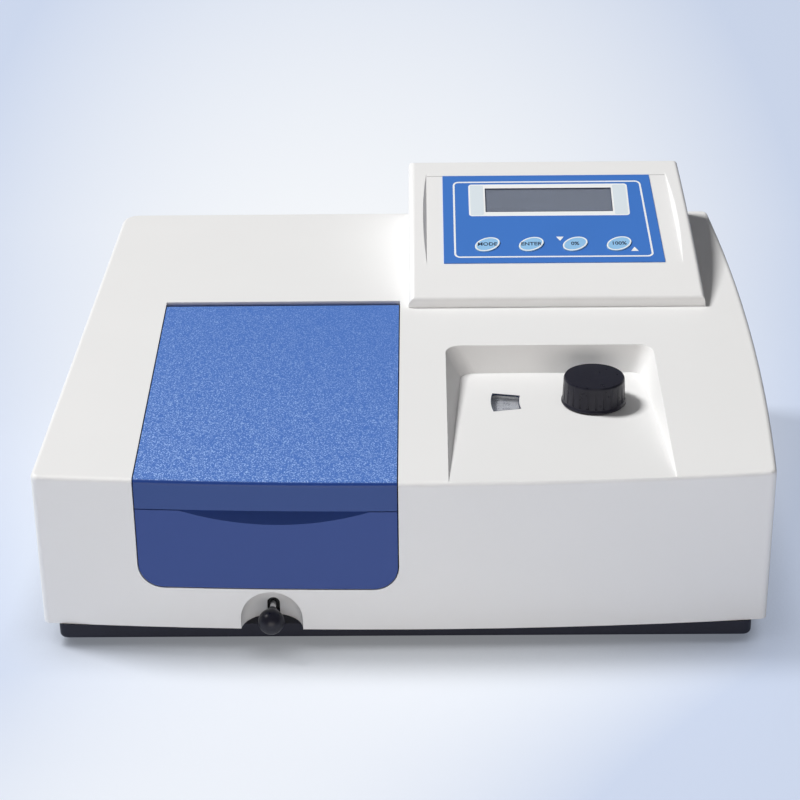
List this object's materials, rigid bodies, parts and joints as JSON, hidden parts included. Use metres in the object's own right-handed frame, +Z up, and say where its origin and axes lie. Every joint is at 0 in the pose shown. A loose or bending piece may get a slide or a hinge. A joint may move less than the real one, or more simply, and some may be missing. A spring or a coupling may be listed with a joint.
{
  "type": "uv-vis spectrophotometer",
  "caption": "Bench uv-vis spectrophotometer with a hinged sample lid, pull-rod sample changer, wavelength knob with dial, and a sloping display with keys.",
  "frame": {"origin": "on the bench under the middle of the instrument's box", "axes": "+X to the instrument's right, +Y to its back, +Z up"},
  "size_m": [0.4869, 0.387, 0.2121],
  "materials": {
    "cover_white": "moulded, fine matt grain",
    "housing_white": "moulded, fine matt grain",
    "lid_blue": "fine grain",
    "panel_blue": "fine grain",
    "base_black": "cast, black coat",
    "case_aluminium": "cast, sand blasted",
    "chamber_black": "matt black anodised",
    "sheet_black": "matt black paint",
    "sheet_grey": "fine texture paint",
    "steel": "turned",
    "rod_steel": "polished",
    "brass": "turned",
    "rubber": "matt",
    "knob_black": "polished",
    "plastic_black": "moulded",
    "quartz": "polished",
    "clear_pane": "polished",
    "mirror": "polished",
    "grating": "ruled",
    "dial_face": "satin, printed scale",
    "overlay_blue": "printed film",
    "key_blue": "printed film",
    "display_grey": "display glass and frame",
    "circuit_green": "lacquered board",
    "core_steel": "varnished laminations",
    "lamp_glass": "clear bulb"
  },
  "bodies": {
    "chassis": {"upper_cover": "cover_white", "base_tray": "base_black", "feet": "rubber", "cover_screws": "steel", "hinge_bracket": "sheet_black", "hinge_pins": "steel", "front_panel": "panel_blue", "sample_chamber": "chamber_black", "chamber_seal": "rubber", "beam_windows": "quartz", "guide_rails": "rod_steel", "rod_bush": "brass", "detector_housing": "sheet_black", "photodiode": "steel", "monochromator_case": "case_aluminium", "drive_plate": "case_aluminium", "slit_plates": "steel", "collimating_mirror": "mirror", "mirror_mount": "case_aluminium", "knob_bush": "brass", "dial_window": "clear_pane", "lamp_house": "sheet_black", "halogen_lamp": "lamp_glass", "deuterium_lamp": "lamp_glass", "transformer": "core_steel", "main_board": "circuit_green", "rear_panel": "sheet_grey", "mains_inlet": "plastic_black", "switch_housing": "plastic_black", "fuse_holder": "plastic_black", "data_socket": "steel", "fan_frame": "plastic_black", "display_housing": "housing_white", "keypad_overlay": "overlay_blue", "display_module": "display_grey", "display_window": "clear_pane", "display_board": "circuit_green", "key_mat": "rubber"},
    "lid": {"lid": "lid_blue"},
    "sample_changer": {"carriage": "case_aluminium", "cell_holder": "chamber_black", "pull_rod": "rod_steel", "pull_knob": "knob_black"},
    "knob": {"wavelength_knob": "knob_black", "knob_shaft": "steel"},
    "counter_wheel": {"countershaft": "steel", "counter_gear": "brass"},
    "dial": {"wavelength_dial": "dial_face", "dial_gear": "brass", "grating_cam": "steel"},
    "grating_drive": {"grating_shaft": "steel", "grating_arm": "steel", "diffraction_grating": "grating"},
    "key_one": {"key_1": "key_blue"},
    "key_two": {"key_2": "key_blue"},
    "key_three": {"key_3": "key_blue"},
    "key_four": {"key_4": "key_blue"},
    "rocker": {"power_rocker": "plastic_black"},
    "fan": {"fan_rotor": "plastic_black"}
  },
  "joints": [
    {"name": "lid_hinge", "type": "hinge", "parent": "chassis", "child": "lid", "pos_m": [-0.09165, 0.0458, 0.14552], "axis": [-1, 0, 0], "range_deg": [0, 100]},
    {"name": "changer_slide", "type": "slide", "parent": "chassis", "child": "sample_changer", "axis": [0, -1, 0], "range_m": [0, 0.048]},
    {"name": "dial_turn", "type": "hinge", "parent": "chassis", "child": "dial", "pos_m": [0.127, -0.063, 0.12], "axis": [0, 0, 1], "range_deg": [-150, 150]},
    {"name": "knob_turn", "type": "hinge", "parent": "chassis", "child": "knob", "pos_m": [0.127, -0.063, 0.135], "axis": [0, 0, 1], "range_deg": [-1350, 1350]},
    {"name": "counter_turn", "type": "hinge", "parent": "chassis", "child": "counter_wheel", "pos_m": [0.127, -0.095, 0.1], "axis": [0, 0, 1], "range_deg": [-450, 450]},
    {"name": "grating_turn", "type": "hinge", "parent": "chassis", "child": "grating_drive", "pos_m": [0.179, -0.063, 0.06], "axis": [0, 0, 1], "range_deg": [-15, 15]},
    {"name": "rocker_tip", "type": "hinge", "parent": "chassis", "child": "rocker", "pos_m": [-0.105, 0.1855, 0.0475], "axis": [1, 0, 0], "range_deg": [0, 16]},
    {"name": "fan_spin", "type": "hinge", "parent": "chassis", "child": "fan", "pos_m": [0.16, 0.1805, 0.0595], "axis": [0, 1, 0], "continuous": true},
    {"name": "press_one", "type": "slide", "parent": "chassis", "child": "key_one", "axis": [0, 0.3332, -0.9429], "range_m": [0, 0.0006], "stiffness_N_per_m": 300, "springref_m": -0.0008},
    {"name": "press_two", "type": "slide", "parent": "chassis", "child": "key_two", "axis": [0, 0.3332, -0.9429], "range_m": [0, 0.0006], "stiffness_N_per_m": 300, "springref_m": -0.0008},
    {"name": "press_three", "type": "slide", "parent": "chassis", "child": "key_three", "axis": [0, 0.3332, -0.9429], "range_m": [0, 0.0006], "stiffness_N_per_m": 300, "springref_m": -0.0008},
    {"name": "press_four", "type": "slide", "parent": "chassis", "child": "key_four", "axis": [0, 0.3332, -0.9429], "range_m": [0, 0.0006], "stiffness_N_per_m": 300, "springref_m": -0.0008}
  ],
  "couplings": [
    {"joint": "knob_turn", "follows": "dial_turn", "ratio": 9},
    {"joint": "counter_turn", "follows": "dial_turn", "ratio": -3},
    {"joint": "grating_turn", "follows": "dial_turn", "ratio": 0.1}
  ]
}
